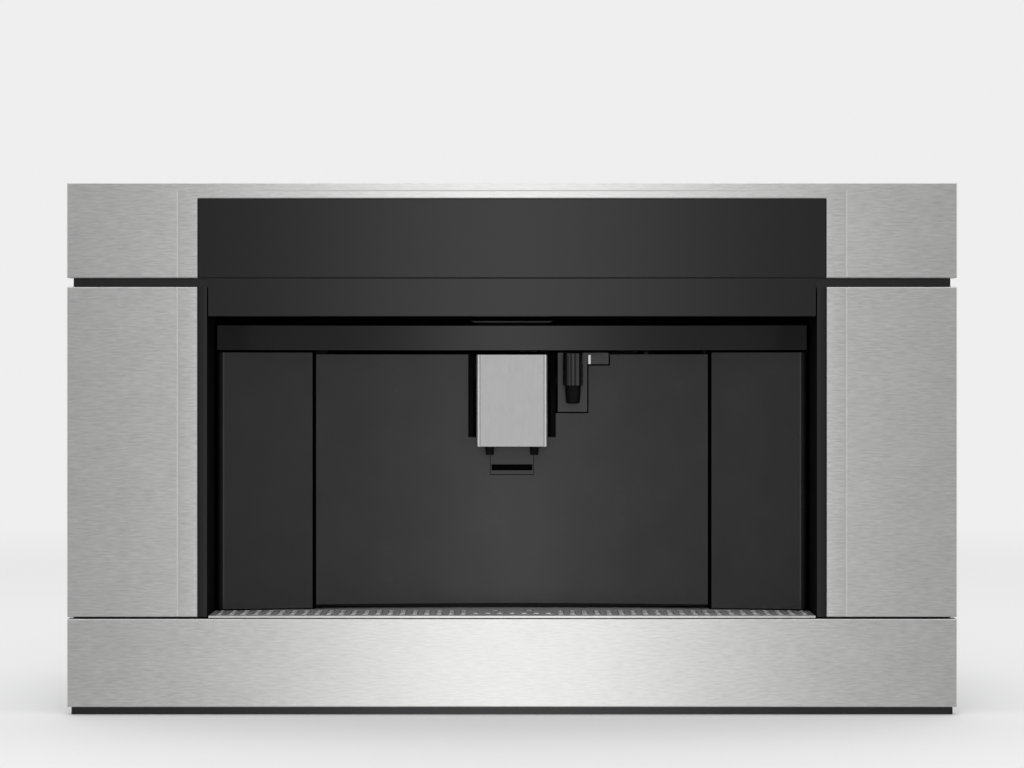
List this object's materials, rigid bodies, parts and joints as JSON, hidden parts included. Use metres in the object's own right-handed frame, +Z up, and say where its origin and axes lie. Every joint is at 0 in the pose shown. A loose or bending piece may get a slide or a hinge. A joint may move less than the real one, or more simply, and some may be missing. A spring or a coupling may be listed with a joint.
{
  "type": "built in coffee machine",
  "caption": "Built in coffee machine with a stainless front, a curved service door, a height adjustable spout, a drip drawer and telescopic rails.",
  "frame": {"origin": "under the middle of the bounding box, at the foot of the front", "axes": "+X right seen from the front, -Y out of the front, +Z up"},
  "size_m": [0.759, 0.4, 0.454],
  "materials": {
    "stainless": "horizontally brushed stainless steel",
    "black_glass": "polished black glass, opaque",
    "gloss_black": "glossy black moulding",
    "black_plastic": "fine textured black plastic",
    "zinc_steel": "zinc plated sheet steel",
    "clear_plastic": "smoked clear plastic",
    "burr_steel": "ground tool steel",
    "cast_aluminium": "cast aluminium with a wrap",
    "motor_metal": "satin motor housing",
    "circuit_board": "green circuit board"
  },
  "bodies": {
    "cabinet_rails": {"rail_outers": "zinc_steel"},
    "rail_middles": {"rail_middles": "zinc_steel"},
    "machine": {"rail_inners": "zinc_steel", "base_pan": "zinc_steel", "side_panels": "zinc_steel", "rear_panel": "zinc_steel", "top_cover": "zinc_steel", "lid_pins": "zinc_steel", "mid_deck": "zinc_steel", "bulkhead": "zinc_steel", "service_bay": "black_plastic", "front_frame": "black_plastic", "upper_trim": "stainless", "wing_panels": "stainless", "control_glass": "black_glass", "control_board": "circuit_board", "fascia": "gloss_black", "niche_surround": "black_plastic", "niche_hood": "gloss_black", "niche_liner": "gloss_black", "cup_light": "clear_plastic", "nozzle_carrier": "gloss_black", "hinge_brackets": "zinc_steel", "door_catch": "black_plastic", "bean_hopper": "clear_plastic", "ground_coffee_funnel": "clear_plastic", "grinder_housing": "black_plastic", "grinder_motor": "motor_metal", "burr_ring": "burr_steel", "brew_frame": "black_plastic", "brew_piston": "black_plastic", "brew_gearmotor": "motor_metal", "grounds_container": "black_plastic", "tank_cradle": "black_plastic", "boilers": "cast_aluminium", "pump": "motor_metal", "power_board": "circuit_board", "power_inlet": "black_plastic", "case_screws": "zinc_steel"},
    "service_door": {"service_door": "gloss_black", "door_pull": "gloss_black", "spout_channel": "black_plastic"},
    "spout": {"spout_carriage": "black_plastic", "spout_cover": "stainless", "spout_tips": "black_plastic"},
    "drip_drawer": {"bottom_panel": "stainless", "drip_tray": "black_plastic", "cup_plate": "stainless"},
    "water_tank": {"water_tank": "clear_plastic", "tank_lid": "black_plastic"},
    "hopper_lid": {"hopper_lid": "black_plastic"},
    "funnel_lid": {"funnel_lid": "black_plastic"},
    "grind_knob": {"grind_knob": "black_plastic"},
    "main_switch": {"main_switch": "black_plastic"},
    "hot_water_nozzle": {"hot_water_nozzle": "black_plastic", "nozzle_tip": "black_plastic"},
    "nozzle_release": {"nozzle_release": "zinc_steel"},
    "brew_screw": {"brew_screw": "burr_steel"},
    "brew_carriage": {"brew_carriage": "black_plastic"},
    "burr": {"burr_cone": "burr_steel"}
  },
  "joints": [
    {"name": "machine_slide", "type": "slide", "parent": "cabinet_rails", "child": "machine", "axis": [0, -1, 0], "range_m": [0, 0.35]},
    {"name": "rail_middle_slide", "type": "slide", "parent": "cabinet_rails", "child": "rail_middles", "axis": [0, -1, 0], "range_m": [0, 0.175]},
    {"name": "door_hinge", "type": "hinge", "parent": "machine", "child": "service_door", "pos_m": [-0.167, -0.1205, 0.2], "axis": [0, 0, -1], "range_deg": [0, 90]},
    {"name": "spout_slide", "type": "slide", "parent": "service_door", "child": "spout", "axis": [0, 0, -1], "range_m": [0, 0.05]},
    {"name": "drawer_slide", "type": "slide", "parent": "machine", "child": "drip_drawer", "axis": [0, -1, 0], "range_m": [0, 0.15]},
    {"name": "tank_lift", "type": "slide", "parent": "machine", "child": "water_tank", "axis": [0, 0, 1], "range_m": [0, 0.24]},
    {"name": "hopper_lid_hinge", "type": "hinge", "parent": "machine", "child": "hopper_lid", "pos_m": [-0.04, 0.068, 0.4455], "axis": [-1, 0, 0], "range_deg": [0, 100]},
    {"name": "funnel_lid_hinge", "type": "hinge", "parent": "machine", "child": "funnel_lid", "pos_m": [0.1, -0.019, 0.4455], "axis": [-1, 0, 0], "range_deg": [0, 100]},
    {"name": "grind_knob_turn", "type": "hinge", "parent": "machine", "child": "grind_knob", "pos_m": [0.042, 0, 0.44], "axis": [0, 0, 1], "range_deg": [0, 270]},
    {"name": "main_switch_rock", "type": "hinge", "parent": "machine", "child": "main_switch", "pos_m": [0, 0.191, 0.056], "axis": [-1, 0, 0], "range_deg": [0, 14]},
    {"name": "nozzle_pull", "type": "slide", "parent": "machine", "child": "hot_water_nozzle", "axis": [0, -1, 0], "range_m": [0, 0.012]},
    {"name": "release_slide", "type": "slide", "parent": "machine", "child": "nozzle_release", "axis": [1, 0, 0], "range_m": [0, 0.006], "stiffness_N_per_m": 200, "springref_m": -0.002},
    {"name": "brew_screw_turn", "type": "hinge", "parent": "machine", "child": "brew_screw", "pos_m": [0.125, 0.015, 0.2], "axis": [0, 0, 1], "range_deg": [0, 1800]},
    {"name": "brew_lift", "type": "slide", "parent": "machine", "child": "brew_carriage", "axis": [0, 0, 1], "range_m": [0, 0.04]},
    {"name": "burr_spin", "type": "hinge", "parent": "machine", "child": "burr", "pos_m": [-0.04, 0, 0.36], "axis": [0, 0, 1], "continuous": true}
  ],
  "couplings": [
    {"joint": "rail_middle_slide", "follows": "machine_slide", "ratio": 0.5},
    {"joint": "brew_screw_turn", "follows": "brew_lift", "rad_per_m": 785.4}
  ]
}
